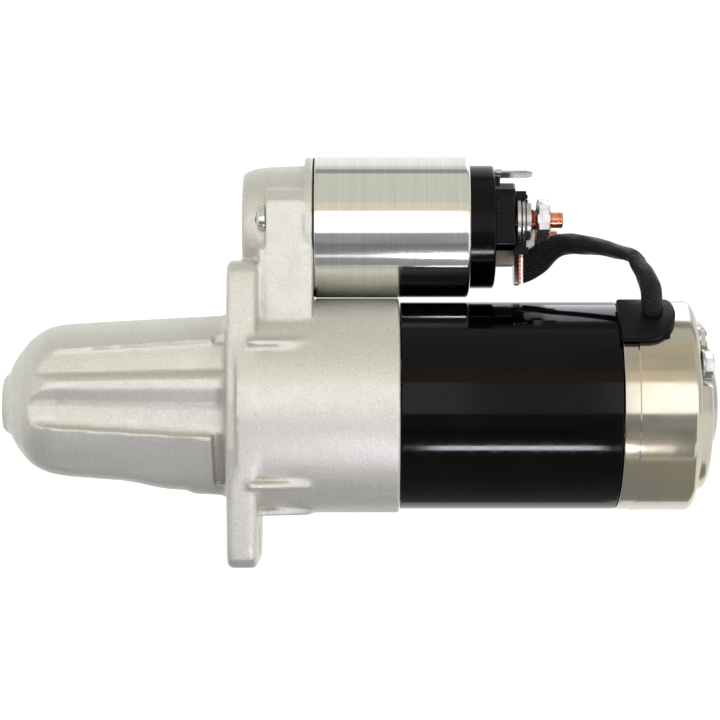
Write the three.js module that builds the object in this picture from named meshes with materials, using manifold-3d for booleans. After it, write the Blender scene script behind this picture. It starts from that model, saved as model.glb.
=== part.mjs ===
// Starter motor with a planetary reduction gear and a piggyback solenoid.
// Millimetres. +X runs along the motor axis towards the rear cover, +Z points up to the solenoid, and the
// origin is on the motor axis in the flange's mounting face.
import * as THREE from "three";
import { mergeVertices } from "three/addons/utils/BufferGeometryUtils.js";
import Module from "manifold-3d";

const wasm = await Module();
wasm.setup();

// ---- Driving dimensions ----
const GAP = 0.3; // air between pieces that touch
const TIP_X = -80.9; // closed end of the nose
const FLANGE_T = 10.6;
const BARREL_R = 38.5;
const BARREL_END = 60.6;
const CAVITY_R = 27.6; // inside of the barrel
const YOKE_R = 37.2;
const YOKE_WALL = 3;
const YOKE_END = 137.6;
const COVER_R = 37.7;
const COVER_X = 137.9;
const COVER_END = 165;
const ISLAND_R = 30.6;
const ISLAND_X = 169.8;
const BOSS_R = 15;
const BOSS_X = 173.5;
const SOLENOID_Z = 64.1; // solenoid axis above the motor axis
const CASE_R = 25.4;
const CASE_X = 30.4;
const CASE_END = 85.6;
const PLUNGER_R = 9.8;
const CAP_R = 22.1;
const TOWER_X = 101.5; // rear face of the terminal tower
const STUD_R = 3.9; // M8
const STUD_END = 118.5;
const NUT_FLATS = 13;
const BATTERY_STUD = [-12, 66]; // y, z
const MOTOR_STUD = [12, 60.8];
const SHAFT_R = 6;
const LEVER_X = 17; // lever and its pin
const PIVOT_Z = 42;
const BOLT_CIRCLE_R = 30.6;
const BOLT_ANGLE = THREE.MathUtils.degToRad(151.4);
const BRUSH_SCREW_R = 29;
const BRUSH_SCREW_ANGLE = THREE.MathUtils.degToRad(125.2);
const BRUSH_ANGLE = THREE.MathUtils.degToRad(16.4);
const MODULE = 1; // planetary gear module
const SUN_TEETH = 13;
const PLANET_TEETH = 17;
const RING_TEETH = 47;
const PLANET_CIRCLE_R = ((SUN_TEETH + PLANET_TEETH) * MODULE) / 2;
const PINION_TEETH = 10;
const PINION_MODULE = 2.54;
const SPLINES = 10;
const GROMMET_ANGLE = THREE.MathUtils.degToRad(124); // from +Y towards +Z
const LEAD_R = 3.9;
const TURN = 2 * Math.PI;
const ROUND = 28; // facets round the casings

// The motor lead's middle line, from the motor terminal down to the grommet and through it.
const LEAD_ROUTE = [
  [105.6, 4.2, 49.2],
  [107.7, 3.8, 50.2],
  [110.3, 3.5, 52.1],
  [113.9, 2.6, 55.1],
  [117.2, 1.6, 57.4],
  [120.1, 0.6, 58],
  [125.6, -2, 57.8],
  [133, -6.5, 56.5],
  [137.9, -10, 54.8],
  [141.7, -13, 53.2],
  [144.1, -15.5, 51.3],
  [146.4, -19, 48.2],
  [147.9, -22.4, 43.7],
  [148.9, -24.2, 38.4],
  [149, -22.8, 33.9],
  [149, -19.2, 28.5],
];

// ---- Materials ----
const metal = (color, roughness, metalness = 1) =>
  new THREE.MeshStandardMaterial({ color, roughness, metalness });
const dull = (color, roughness) => metal(color, roughness, 0);
const CAST_ALUMINIUM = metal(0xb9b5ab, 0.5);
const BLACK_PAINT = metal(0x0c0c0d, 0.15, 0.2);
const ZINC = metal(0xc9c6bb, 0.3);
const STEEL = metal(0x9a9a9c, 0.35);
const DARK_STEEL = metal(0x4a4a4c, 0.45);
const COPPER = metal(0xc4693f, 0.35);
const BRONZE = metal(0xa5793f, 0.4);
const FERRITE = dull(0x2b2b2d, 0.8);
const BLACK_PLASTIC = dull(0x17171a, 0.45);
const NYLON = dull(0xd8d0bd, 0.6);
const CARBON = dull(0x3a3634, 0.7);
const RUBBER = dull(0x141415, 0.75);
const BRAID = dull(0x1b1b1e, 0.85);

// ---- Shapes ----
/** A geometry whose local x, y, z lie along the given world directions. */
function turnedTo(geometry, ...directions) {
  const axes = directions.map((d) => new THREE.Vector3(...d));
  return geometry.applyMatrix4(new THREE.Matrix4().makeBasis(...axes));
}

/** A solid of revolution about the X axis from [x, radius] points; a profile that has a bore closes on itself. */
function turned(profile, segments = 20) {
  const points = profile.map(([x, r]) => new THREE.Vector2(r, x));
  if (profile.every(([, r]) => r > 0)) points.push(points[0].clone());
  return turnedTo(new THREE.LatheGeometry(points, segments), [0, 0, 1], [1, 0, 0], [0, 1, 0]);
}

function rod(x0, x1, r, segments = 16) {
  return turned([[x0, 0], [x0, r], [x1, r], [x1, 0]], segments);
}

function tube(x0, x1, rIn, rOut, segments = 20) {
  return turned([[x0, rIn], [x0, rOut], [x1, rOut], [x1, rIn]], segments);
}

function box(x0, x1, y0, y1, z0, z1) {
  const block = new THREE.BoxGeometry(x1 - x0, y1 - y0, z1 - z0);
  return block.translate((x0 + x1) / 2, (y0 + y1) / 2, (z0 + z1) / 2);
}

/** The same box on both sides of the XZ plane, y0 and y1 being distances from it. */
function boxPair(x0, x1, y0, y1, z0, z1) {
  return [box(x0, x1, y0, y1, z0, z1), box(x0, x1, -y1, -y0, z0, z1)];
}

function outline(points) {
  return new THREE.Shape(points.map(([x, y]) => new THREE.Vector2(x, y)));
}

function extruded(points, depth) {
  return new THREE.ExtrudeGeometry(outline(points), { depth, bevelEnabled: false });
}

/** A prism along X of an outline in (y, z). */
function prismX(points, x0, x1) {
  return turnedTo(extruded(points, x1 - x0), [0, 1, 0], [0, 0, 1], [1, 0, 0]).translate(x0, 0, 0);
}

/** A prism along Y of an outline in (x, z). */
function prismY(points, y0, y1) {
  return turnedTo(extruded(points, y1 - y0), [1, 0, 0], [0, 0, 1], [0, -1, 0]).translate(0, y1, 0);
}

/** A prism along Z of an outline in (x, y). */
function prismZ(points, z0, z1) {
  return extruded(points, z1 - z0).translate(0, 0, z0);
}

/** A rod along Y. */
function rodY(x, z, r, y0, y1, segments = 12) {
  return turnedTo(rod(y0, y1, r, segments), [0, 1, 0], [1, 0, 0], [0, 0, -1]).translate(x, 0, z);
}

/** Points of an arc about (cx, cy), both ends included. */
function arc(cx, cy, r, from, to, steps) {
  return Array.from({ length: steps + 1 }, (_, i) => {
    const a = from + ((to - from) * i) / steps;
    return [cx + r * Math.cos(a), cy + r * Math.sin(a)];
  });
}

/** A geometry turned about the X axis. */
function spun(geometry, angle) {
  return geometry.rotateX(angle);
}

/** The (y, z) place at a radius and an angle about the X axis. */
function polar(r, angle) {
  return [r * Math.cos(angle), r * Math.sin(angle)];
}

/** A hexagonal prism with flats facing both ways along Y. */
function hexagon(acrossFlats, x0, x1, y, z) {
  const corners = arc(y, z, acrossFlats / Math.sqrt(3), TURN / 12, TURN * (11 / 12), 5);
  return prismX(corners, x0, x1);
}

// ---- Booleans ----
/** A closed geometry as a solid, with shared vertices merged and its faces turned outwards. */
function solid(geometry) {
  const bare = geometry.clone();
  bare.deleteAttribute("normal");
  bare.deleteAttribute("uv");
  const merged = mergeVertices(bare, 1e-4);
  const index = merged.index.array;
  const corners = [];
  for (let i = 0; i < index.length; i += 3) {
    const [a, b, c] = index.slice(i, i + 3);
    if (a !== b && b !== c && c !== a) corners.push(a, b, c);
  }
  const vertProperties = merged.attributes.position.array;
  const build = (triVerts) => new wasm.Manifold(new wasm.Mesh({ numProp: 3, vertProperties, triVerts }));
  const made = build(Uint32Array.from(corners));
  return made.volume() < 0 ? build(Uint32Array.from(corners.reverse())) : made;
}

function geometryOf(manifold) {
  const mesh = manifold.getMesh();
  const geometry = new THREE.BufferGeometry();
  geometry.setAttribute("position", new THREE.BufferAttribute(Float32Array.from(mesh.vertProperties), 3));
  geometry.setIndex(new THREE.BufferAttribute(Uint32Array.from(mesh.triVerts), 1));
  geometry.computeVertexNormals();
  return geometry;
}

const join = (...pieces) => geometryOf(pieces.map(solid).reduce((a, b) => a.add(b)));
const cut = (base, ...tools) => geometryOf(tools.map(solid).reduce((a, b) => a.subtract(b), solid(base)));
const common = (a, b) => geometryOf(solid(a).intersect(solid(b)));

function piece(name, geometry, material) {
  const mesh = new THREE.Mesh(geometryOf(solid(geometry)), material);
  mesh.name = name;
  return mesh;
}

function group(x, y, z, ...children) {
  const made = new THREE.Group();
  made.position.set(x, y, z);
  made.add(...children);
  return made;
}

// ---- Gears ----
const involute = (angle) => Math.tan(angle) - angle;

/** Gear outline with involute flanks. Thinning is taken off each flank; a negative one gives a ring's spaces. */
function gearOutline(teeth, module, tipR, rootR, phase, thinning) {
  const pitchR = (teeth * module) / 2;
  const pressure = THREE.MathUtils.degToRad(20);
  const baseR = pitchR * Math.cos(pressure);
  const halfAngle = (r) => {
    const at = Math.acos(Math.min(1, baseR / r));
    return Math.PI / (2 * teeth) - thinning / pitchR + involute(pressure) - involute(at);
  };
  return Array.from({ length: teeth }, (_, tooth) => phase + (tooth * TURN) / teeth).flatMap((middle) => [
    polar(rootR, middle - halfAngle(rootR)),
    polar(tipR, middle - halfAngle(tipR)),
    polar(tipR, middle + halfAngle(tipR)),
    polar(rootR, middle + halfAngle(rootR)),
  ]);
}

const PLANET_ANGLES = [0, 1, 2].map((k) => Math.PI / 2 + (k * TURN) / 3);
const SUN_PHASE = Math.PI / 2;
const wrap = (value) => value - Math.floor(value);

/** Rotation that puts a planet's space where the sun has a tooth. */
function planetPhase(angle) {
  const sunOffset = wrap((SUN_PHASE - angle) / (TURN / SUN_TEETH));
  return angle + Math.PI - (sunOffset * TURN) / PLANET_TEETH + Math.PI / PLANET_TEETH;
}

/** Rotation that puts the ring's space where the first planet has a tooth. */
function ringPhase() {
  const angle = PLANET_ANGLES[0];
  const offset = wrap((planetPhase(angle) - angle) / (TURN / PLANET_TEETH));
  return angle + (offset * TURN) / RING_TEETH;
}

// ---- Springs ----
class Helix extends THREE.Curve {
  constructor(x0, x1, r, turns) {
    super();
    Object.assign(this, { x0, x1, r, turns });
  }

  getPoint(t, target = new THREE.Vector3()) {
    const [y, z] = polar(this.r, t * this.turns * TURN);
    return target.set(this.x0 + (this.x1 - this.x0) * t, y, z);
  }
}

function coilSpring(x0, x1, r, wireR, turns, stepsPerTurn = 8) {
  const section = outline(arc(0, 0, wireR, 0, TURN * (3 / 4), 3));
  const path = new Helix(x0 + wireR, x1 - wireR, r, turns);
  return new THREE.ExtrudeGeometry(section, { steps: turns * stepsPerTurn, extrudePath: path, bevelEnabled: false });
}

// ---- Drive end housing ----
function noseOuter() {
  return turned(
    [[TIP_X, 0], [TIP_X, 10.2], [-79.6, 11.2], [-78.6, 12.4], [-75.5, 18.4], [-71.8, 23.1], [-68.1, 26.1],
      [-64.4, 28], [-57, 29.3], [-38, 30.4], [-4, 32.2], [1, 34], [1, 0]],
    ROUND,
  );
}

/** Material taken off between the nose's two lobes, down to a plain barrel with one long rib. */
function noseRecess() {
  const barrel = turned([[-72, 0], [-72, 19], [-62, 24.6], [-50, 26.6], [-3, 27.4], [-3, 0]], ROUND);
  const rib = prismX([[-20, 2], [-29.4, 6.6], [-29.4, 9.2], [-20, 14.5]], -70, 0);
  return cut(box(-66, -4.9, -45, -5, -10.4, 20.8), barrel, rib);
}

/** Flats that make the nose shallower below. */
function noseUnderside() {
  return prismY([[-90, -60], [-90, -10.8], [-79.5, -10.8], [-75.5, -16.2], [-70.3, -21.4], [-62.9, -24.3],
    [-56.9, -25.3], [-38.2, -26.8], [-27, -29.6], [-21.8, -30.8], [-12, -32], [-12, -60]], -45, 45);
}

/** Slanted flats on the nose's lower left and lower right. */
function noseFlanks() {
  return [-1, 1].map((side) => prismX([[side * 36.4, 0], [side * 45, -40], [side * 2.85, -40]], -85, 0));
}

function flangePlate() {
  const side = [[20, 51.3], ...arc(21.4, 44.3, 7, 1.37, 0.1, 3), [29.5, 38], [33.4, 18], [35, 2], [34, -14], [29, -34],
    ...arc(18.8, -49.6, 7.5, 0, -1.57, 4)];
  const mirrored = side.map(([y, z]) => [-y, z]).reverse();
  return prismX([...side, ...mirrored], 0, FLANGE_T);
}

function solenoidBracket() {
  const round = turned([[4.9, 0], [4.9, 19.6], [6.6, 21.6], [26.7, 21.6], [26.7, 25], [30, 25], [30, 0]], ROUND)
    .translate(0, 0, SOLENOID_Z);
  const block = box(11, 30, -20, 20, 30, SOLENOID_Z - 8);
  const bosses = [-1, 1].map((side) => {
    const [y, z] = screwPlace(side);
    return join(rod(13.5, 26.9, 5.6).translate(0, y, z), box(13.5, 26.9, y - 5.6, y + 5.6, 50, z));
  });
  return join(round, block, ...bosses);
}

function screwPlace(side) {
  return [side * 18.6, SOLENOID_Z - side * 1.6];
}

function flangeGussets() {
  const shape = (side) => [[9, side * 36.5], [9, side * 28], [27, side * 28], [27, side * 31]];
  return [-1, 1].flatMap((side) => [
    prismZ(shape(side), 20.4, 24.4).translate(0, -side * 1.5, 0),
    prismZ(shape(side), -29, -25).translate(0, -side * 4, 0),
  ]);
}

function driveCavity() {
  return turned([[-77.6, 0], [-77.6, 8.2], [-66, 8.2], [-66, 14], [-62, 22.5], [-3, 22.5], [-3, 26], [4, 26],
    [4, CAVITY_R], [BARREL_END + 1, CAVITY_R], [BARREL_END + 1, 0]], ROUND);
}

function driveEndHousing() {
  const barrel = turned([[5, 0], [5, BARREL_R], [BARREL_END, BARREL_R], [BARREL_END, 0]], ROUND);
  const nose = cut(noseOuter(), noseRecess(), noseUnderside(), ...noseFlanks());
  const body = join(nose, flangePlate(), barrel, solenoidBracket(), ...flangeGussets());
  const boltHoles = [0, Math.PI].map((turn) => {
    const [y, z] = polar(BOLT_CIRCLE_R, BOLT_ANGLE + turn);
    return rod(46, BARREL_END + 1, 2.65, 12).translate(0, y, z);
  });
  const screwHoles = [-1, 1].flatMap((side) => [
    rod(13, 31, 2.4, 12).translate(0, ...screwPlace(side)),
    rod(4, 13.5, 6.2).translate(0, ...screwPlace(side)),
  ]);
  return cut(
    body,
    driveCavity(),
    box(-60, -24, 9, 45, -23, 23), // ring gear window
    rod(8, 31, 12).translate(0, 0, SOLENOID_Z), // plunger bore
    box(8, 30.5, -9.5, 9.5, 18, 72), // lever slot
    rodY(LEVER_X, PIVOT_Z, 3.1, -15.3, 15.3),
    rod(-1, 22, 5).translate(0, 0, 44.3), // threaded mounting hole
    rod(-1, FLANGE_T + 1, 5).translate(0, 0, -48), // plain mounting hole
    ...boltHoles,
    ...screwHoles,
  );
}

// ---- Output shaft, pinion and clutch ----
function outputShaft() {
  const shaft = turned([[-77.2, 0], [-77.2, 5.4], [-76.6, SHAFT_R], [7, SHAFT_R], [7, 7.2], [33, 7.2], [33, 7.8],
    [38.6, 7.8], [38.6, 24], [42, 24], [42, 0]]);
  const splines = prismX(gearOutline(SPLINES, 1.6, 8.4, 7, 0, 0), 7, 31);
  const pins = PLANET_ANGLES.map((a) => rod(40, 54, 3).translate(0, ...polar(PLANET_CIRCLE_R, a)));
  return cut(join(shaft, splines, ...pins), rod(30, 43, 4.4));
}

function stopCollar() {
  return turned([[-55.2, 6.2], [-55.2, 9], [-54.2, 10], [-51, 10], [-51, 6.2]], 16);
}

function pinionGear() {
  const teeth = common(
    prismX(gearOutline(PINION_TEETH, PINION_MODULE, 15, 9.6, 0.1, 0.1), -36, -20),
    turned([[-36, 0], [-36, 13], [-34, 15.5], [-20, 15.5], [-20, 0]]),
  );
  const hub = turned([[-21, 0], [-21, 11.4], [-19, 10.2], [6, 10.2], [6, 0]], 16);
  return cut(join(teeth, hub), rod(-37, 7, 6.5));
}

function clutchOuter() {
  return turned([[-12, 10.6], [-12, 19], [-10.6, 20], [9.6, 20], [9.6, 11], [7, 11], [7, 15.2], [-9.4, 15.2],
    [-9.4, 10.6]]);
}

function rollerCage() {
  const ring = tube(-8.8, 6.4, 11.6, 13.2, 12);
  const rollers = Array.from({ length: 6 }, (_, i) => rod(-7.5, 5, 2, 6).translate(0, ...polar(12.8, (i * TURN) / 6)));
  return join(ring, ...rollers);
}

function driveSleeve() {
  const outer = turned([[9.9, 0], [9.9, 12], [10, 15], [13.5, 15], [13.5, 11], [20.5, 11], [20.5, 15], [24, 15],
    [24, 12], [30, 12], [30, 0]]);
  const bore = prismX(gearOutline(SPLINES, 1.6, 8.9, 7.6, 0, -0.3), 9, 31);
  return cut(outer, bore);
}

function shiftLever() {
  const stem = prismX([[-7.2, 17], [7.2, 17], [6, 0], [6, -16], [12.4, -20.6], [-12.4, -20.6], [-6, -16], [-6, 0]],
    -2.4, 2.4);
  const arms = [-1, 1].map((side) =>
    prismX([[12.4, -20.4], [19.6, -26], [19.6, -46], [15.5, -46], [15.5, -27], [6, -24.6], [6, -18]]
      .map(([y, z]) => [side * y, z]), -2.4, 2.4));
  const bridge = box(-2.4, 2.4, -8, 8, -25, -17);
  const prongs = boxPair(-2, 2, 3.4, 7.2, 16, 25);
  const pads = boxPair(-2, 2, 11.6, 16, -45, -39);
  const hub = rodY(0, 0, 6, -7.6, 7.6);
  return cut(join(stem, hub, bridge, ...prongs, ...arms, ...pads), rodY(0, 0, 3.3, -9, 9));
}

// ---- Planetary gear ----
function ringGear() {
  const rim = rod(42.6, 57.8, CAVITY_R - GAP, 48);
  const teeth = gearOutline(RING_TEETH, MODULE, 24.8, 22.55, ringPhase(), -0.09);
  return cut(rim, prismX(teeth, 42, 59));
}

function planetGear(angle) {
  const teeth = gearOutline(PLANET_TEETH, MODULE, 9.45, 7.2, planetPhase(angle), 0.09);
  return cut(prismX(teeth, 42.6, 53.6), rod(42, 54, 3.35));
}

function bearingPlate() {
  return turned([[33.4, 10.3], [33.4, CAVITY_R - GAP], [35.4, CAVITY_R - GAP], [35.4, 12.4], [37.8, 12.4],
    [37.8, 10.3]]);
}

function gearboxPlate() {
  return turned([[58.2, 8.4], [58.2, CAVITY_R - GAP], [60.2, CAVITY_R - GAP], [60.2, 8.4]]);
}

// ---- Motor ----
function armatureShaft() {
  const shaft = turned([[32, 0], [32, 4], [44, 4], [44, 5], [160, 5], [160, 4.6], [168, 4.6], [168, 0]], 16);
  return join(shaft, prismX(gearOutline(SUN_TEETH, MODULE, 7.45, 5.2, SUN_PHASE, 0.09), 44.4, 56));
}

const SLOTS = 14;
const CORE_R = 27.4;
const SLOT_FLOOR_R = 20.5;
const SLOT_HALF = 2.1;

function armatureCore() {
  const pitch = TURN / SLOTS;
  const teeth = Array.from({ length: SLOTS }, (_, i) => i * pitch).flatMap((slot) => [
    polar(CORE_R, slot + SLOT_HALF / CORE_R),
    polar(CORE_R, slot + pitch / 2),
    polar(CORE_R, slot + pitch - SLOT_HALF / CORE_R),
    polar(SLOT_FLOOR_R, slot + pitch - SLOT_HALF / SLOT_FLOOR_R),
    polar(SLOT_FLOOR_R, slot + pitch + SLOT_HALF / SLOT_FLOOR_R),
  ]);
  return cut(prismX(teeth, 76, 120), rod(75, 121, 5.2));
}

function armatureWindings() {
  const front = turned([[66, 12], [66, 21], [68.5, 25], [75.7, 25], [75.7, 12]]);
  const rear = turned([[120.3, 12], [120.3, 25], [125, 24], [128, 17], [128, 12]]);
  const bars = Array.from({ length: SLOTS }, (_, i) =>
    spun(box(75, 121, 20.9, 24.6, -1.7, 1.7), (i * TURN) / SLOTS));
  return join(front, rear, ...bars);
}

function commutator() {
  return turned([[128.3, 5.3], [128.3, 17], [130.6, 17], [130.6, 14.5], [150, 14.5], [150, 5.3]]);
}

const MAGNET_HALF_ANGLE = THREE.MathUtils.degToRad(24);

/** Six magnets in a thin cage inside the yoke. */
function fieldMagnets() {
  const cage = tube(70, 124, 33.2, YOKE_R - YOKE_WALL - GAP, 48);
  const magnets = Array.from({ length: 6 }, (_, i) => {
    const middle = BOLT_ANGLE + ((i + 0.5) * TURN) / 6;
    const [from, to] = [middle - MAGNET_HALF_ANGLE, middle + MAGNET_HALF_ANGLE];
    return prismX([...arc(0, 0, 33.5, from, to, 3), ...arc(0, 0, 28.4, to, from, 3)], 72, 122);
  });
  return join(cage, ...magnets);
}

function throughBolt(turn) {
  const [y, z] = polar(BOLT_CIRCLE_R, BOLT_ANGLE + turn);
  const shank = turned([[48, 0], [48, 2.3], [165.3, 2.3], [165.3, 5.4], [166.4, 5.4], [166.4, 0]], 12);
  return join(shank.translate(0, y, z), hexagon(8, 166, 169.6, y, z));
}

function brushScrew(turn) {
  const [y, z] = polar(BRUSH_SCREW_R, BRUSH_SCREW_ANGLE + turn);
  const screw = turned([[150, 0], [150, 1.9], [165.3, 1.9], [165.3, 4.2], [167, 4], [168, 2.8], [168.2, 0]], 12);
  return screw.translate(0, y, z);
}

function rearCover() {
  const shell = turned([[COVER_X, 34.9], [COVER_X, COVER_R - 0.4], [143.3, COVER_R - 0.4], [143.6, COVER_R],
    [160, COVER_R], [163.4, 36.2], [COVER_END, 33.2], [COVER_END, ISLAND_R + 1], [165.6, ISLAND_R], [168.6, 29.8],
    [ISLAND_X, 28], [ISLAND_X, BOSS_R + 0.6], [172, BOSS_R - 0.4], [BOSS_X, BOSS_R - 2], [BOSS_X, 3], [170, 3],
    [170, 11.3], [156.5, 11.3], [156.5, 13.6], [166.6, 13.6], [166.6, 27], [162, 27.6], [162, 34.9]], ROUND);
  const seats = [0, Math.PI].flatMap((turn) => [
    rod(COVER_END, ISLAND_X + 1, 8.2, 20).translate(0, ...polar(BOLT_CIRCLE_R + 2, BOLT_ANGLE + turn)),
    rod(160, ISLAND_X + 1, 2.6, 12).translate(0, ...polar(BOLT_CIRCLE_R, BOLT_ANGLE + turn)),
    rod(COVER_END, ISLAND_X + 1, 5.4, 16).translate(0, ...polar(BRUSH_SCREW_R + 0.6, BRUSH_SCREW_ANGLE + turn)),
    rod(160, ISLAND_X + 1, 2.2, 12).translate(0, ...polar(BRUSH_SCREW_R, BRUSH_SCREW_ANGLE + turn)),
  ]);
  const slot = spun(box(COVER_X - 1, 154.4, 30, 45, -11, 11), GROMMET_ANGLE);
  return cut(shell, slot, ...seats);
}

function grommet() {
  const plug = box(COVER_X + GAP, 154.1, 34.3, 38.6, -10.7, 10.7);
  const rim = cut(
    prismX([...arc(0, 0, 41.2, -0.3, 0.3, 6), ...arc(0, 0, 38.1, 0.35, -0.35, 6)], 135.8, 157),
    prismZ([[163, 30], [163, 45], [150, 45], [157, 38]], -20, -6),
  );
  const leadHole = rodY(LEAD_ROUTE.at(-1)[0], 0, LEAD_R + 0.6, 30, 45);
  return spun(cut(join(plug, rim), leadHole), GROMMET_ANGLE);
}

function rearBearing() {
  return tube(160.3, 167.6, 4.9, 11);
}

const BRUSH_ANGLES = [0, 1, 2, 3].map((k) => BRUSH_ANGLE + (k * TURN) / 4);

/** Round plate behind the yoke with four box-shaped brush holders. */
function brushPlate() {
  const holes = [0, Math.PI].flatMap((turn) => [
    rod(140, 156, 3, 12).translate(0, ...polar(BOLT_CIRCLE_R, BOLT_ANGLE + turn)),
    rod(140, 156, 2.2, 12).translate(0, ...polar(BRUSH_SCREW_R, BRUSH_SCREW_ANGLE + turn)),
  ]);
  const plate = tube(152, 154, 17, 33.8);
  const holder = cut(box(133, 152.5, 17, 32.4, -5.4, 5.4), box(134.4, 150.6, 15, 31, -4, 4));
  const holders = BRUSH_ANGLES.map((a) => spun(holder.clone(), a));
  return cut(join(plate, ...holders), ...holes);
}

function brush(angle) {
  return spun(box(134.8, 149, 14.9, 24, -3.6, 3.6), angle);
}

function brushSpring(angle) {
  const coil = coilSpring(24.3, 30.6, 2.4, 0.4, 2);
  return spun(turnedTo(coil, [0, 1, 0], [0, 0, 1], [1, 0, 0]).translate(142, 0, 0), angle);
}

// ---- Motor lead ----
function motorLead() {
  const path = new THREE.CatmullRomCurve3(LEAD_ROUTE.map((p) => new THREE.Vector3(...p)));
  const section = outline(arc(0, 0, LEAD_R, 0, TURN * (7 / 8), 7));
  return new THREE.ExtrudeGeometry(section, { steps: 22, extrudePath: path, bevelEnabled: false });
}

function leadTerminal() {
  const [y, z] = MOTOR_STUD;
  const eye = prismX([...arc(y, z, 8, -0.4, Math.PI + 0.4, 10), [y - 12.5, 43.2], [y - 2, 43.2]], 102.2, 103.7);
  return cut(eye, rod(102, 104, STUD_R + 0.3, 12).translate(0, y, z));
}

// ---- Solenoid, about its own axis ----
function solenoidCase() {
  return turned([[CASE_X, 10.4], [CASE_X, CASE_R], [84.4, CASE_R], [CASE_END, 24.2], [CASE_END, 22.5], [84.4, 22.5],
    [84.4, 23.5], [34.4, 23.5], [34.4, 10.4]], ROUND);
}

function solenoidGasket() {
  const holes = [-1, 1].map((side) => {
    const [y, z] = screwPlace(side);
    return rod(30, 31, 2.6, 12).translate(0, y, z - SOLENOID_Z);
  });
  return cut(tube(30.05, 30.35, 12.4, 24.6), ...holes);
}

function solenoidScrew(side) {
  const [y, z] = screwPlace(side);
  return turned([[10.2, 0], [10.2, 4.2], [11, 5.2], [13.3, 5.2], [13.3, 2.2], [29.6, 2.2], [29.6, 0]], 12)
    .translate(0, y, z - SOLENOID_Z);
}

function coilBobbin() {
  return turned([[34.8, 10.3], [34.8, 23.1], [36.2, 23.1], [36.2, 11.6], [74.4, 11.6], [74.4, 23.1], [75.8, 23.1],
    [75.8, 10.3]], 24);
}

function solenoidCoil() {
  return tube(36.5, 74.1, 11.9, 22.6, 24);
}

function fixedCore() {
  return turned([[62, 3.3], [62, PLUNGER_R], [76.2, PLUNGER_R], [76.2, 23.1], [80, 23.1], [80, 3.3]], 24);
}

function plunger() {
  return turned([[8.6, 0], [8.6, 6.8], [9.4, 7.5], [11.9, 7.5], [11.9, 3], [20.8, 3], [20.8, 8.8], [22, PLUNGER_R],
    [52, PLUNGER_R], [52, 7.6], [37, 7.6], [37, 0]], 16);
}

function contactRod() {
  return turned([[42.3, 0], [42.3, 2.5], [88.6, 2.5], [88.6, 4], [89.2, 4], [89.2, 2.5], [92.6, 2.5], [92.6, 0]], 12);
}

function contactDisc() {
  return tube(89.5, 91.1, 2.8, 11);
}

const capPlace = ([y, z]) => [y, z - SOLENOID_Z];

function terminalCap() {
  const base = turned([[80.4, 0], [80.4, 23.1], [84, 23.1], [84, CAP_R], [94, CAP_R], [95, CAP_R - 1], [95, 0]]);
  const tower = prismX([[-18.4, -7], [-15.4, -9.1], [15.4, -9.1], [18.4, -7], [18.4, 12], [13, 14.9], [-13, 14.9],
    [-18.4, 12]], 90, TOWER_X);
  const heel = box(94, 101, -9, 4, -14, -8);
  const studHoles = [BATTERY_STUD, MOTOR_STUD].map((s) => rod(97, 103, STUD_R + 0.2, 12).translate(0, ...capPlace(s)));
  return cut(join(base, tower, heel), rod(80, 93.8, 19, 24), box(93, 98.4, -17.2, 17.2, -8, 8.6), ...studHoles);
}

/** Terminal stud with a square head inside the cap and a plain end past its thread. */
function stud(place) {
  const [y, z] = capPlace(place);
  const thread = turned([[97, 0], [97, STUD_R], [113.9, STUD_R], [114.3, 2.9], [118, 2.9], [STUD_END, 2.4],
    [STUD_END, 0]], 12);
  return join(thread.translate(0, y, z), box(93.8, 98.1, y - 4, y + 4, z - 4, z + 4));
}

/** A stack of two flat washers and a spring washer. */
function batteryWashers() {
  const bore = STUD_R + 0.2;
  return turned([[101.9, bore], [101.9, 8], [103.5, 8], [103.8, 7.7], [104.8, 7.7], [105.2, 7.2], [107, 7.2],
    [107, bore]], 16).translate(0, ...capPlace(BATTERY_STUD));
}

/** A hexagonal nut, with a washer in front of it where washerR is given. */
function nut(place, x0, x1, washerR = 0) {
  const [y, z] = capPlace(place);
  const body = washerR
    ? join(hexagon(NUT_FLATS, x0 + 1, x1, y, z), rod(x0, x0 + 1.5, washerR).translate(0, y, z))
    : hexagon(NUT_FLATS, x0, x1, y, z);
  return cut(body, rod(x0 - 1, x1 + 1, STUD_R + 0.2, 12).translate(0, y, z));
}

function spadeTerminal() {
  const blade = prismZ([[95.3, -3.15], [106.6, -3.15], [108.8, -1.4], [108.8, 1.4], [106.6, 3.15], [95.3, 3.15]],
    -0.4, 0.4);
  return spun(blade, THREE.MathUtils.degToRad(-25)).translate(0, 2, 19.2);
}

// ---- Assembly ----
const starter = new THREE.Group();

starter.add(
  piece("drive_end_housing", driveEndHousing(), CAST_ALUMINIUM),
  piece("nose_bush", tube(-77.4, -66.2, 6.3, 7.9, 16), BRONZE),
  piece("output_shaft", outputShaft(), STEEL),
  piece("stop_collar", stopCollar(), STEEL),
  piece("pinion_gear", pinionGear(), STEEL),
  piece("clutch_outer", clutchOuter(), DARK_STEEL),
  piece("clutch_roller_cage", rollerCage(), STEEL),
  piece("drive_sleeve", driveSleeve(), STEEL),
  group(LEVER_X, 0, PIVOT_Z,
    piece("shift_lever", shiftLever(), NYLON),
    piece("lever_pin", rodY(0, 0, 2.9, -15, 15), STEEL)),
  piece("centre_bearing_plate", bearingPlate(), DARK_STEEL),
  piece("centre_bush", tube(33.2, 38.2, 8.1, 10, 16), BRONZE),
  piece("ring_gear", ringGear(), NYLON),
  piece("gearbox_plate", gearboxPlate(), DARK_STEEL),
);

PLANET_ANGLES.forEach((angle, k) => {
  const [y, z] = polar(PLANET_CIRCLE_R, angle);
  starter.add(group(0, y, z, piece(`planet_gear_${k + 1}`, planetGear(angle), STEEL)));
});

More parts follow.
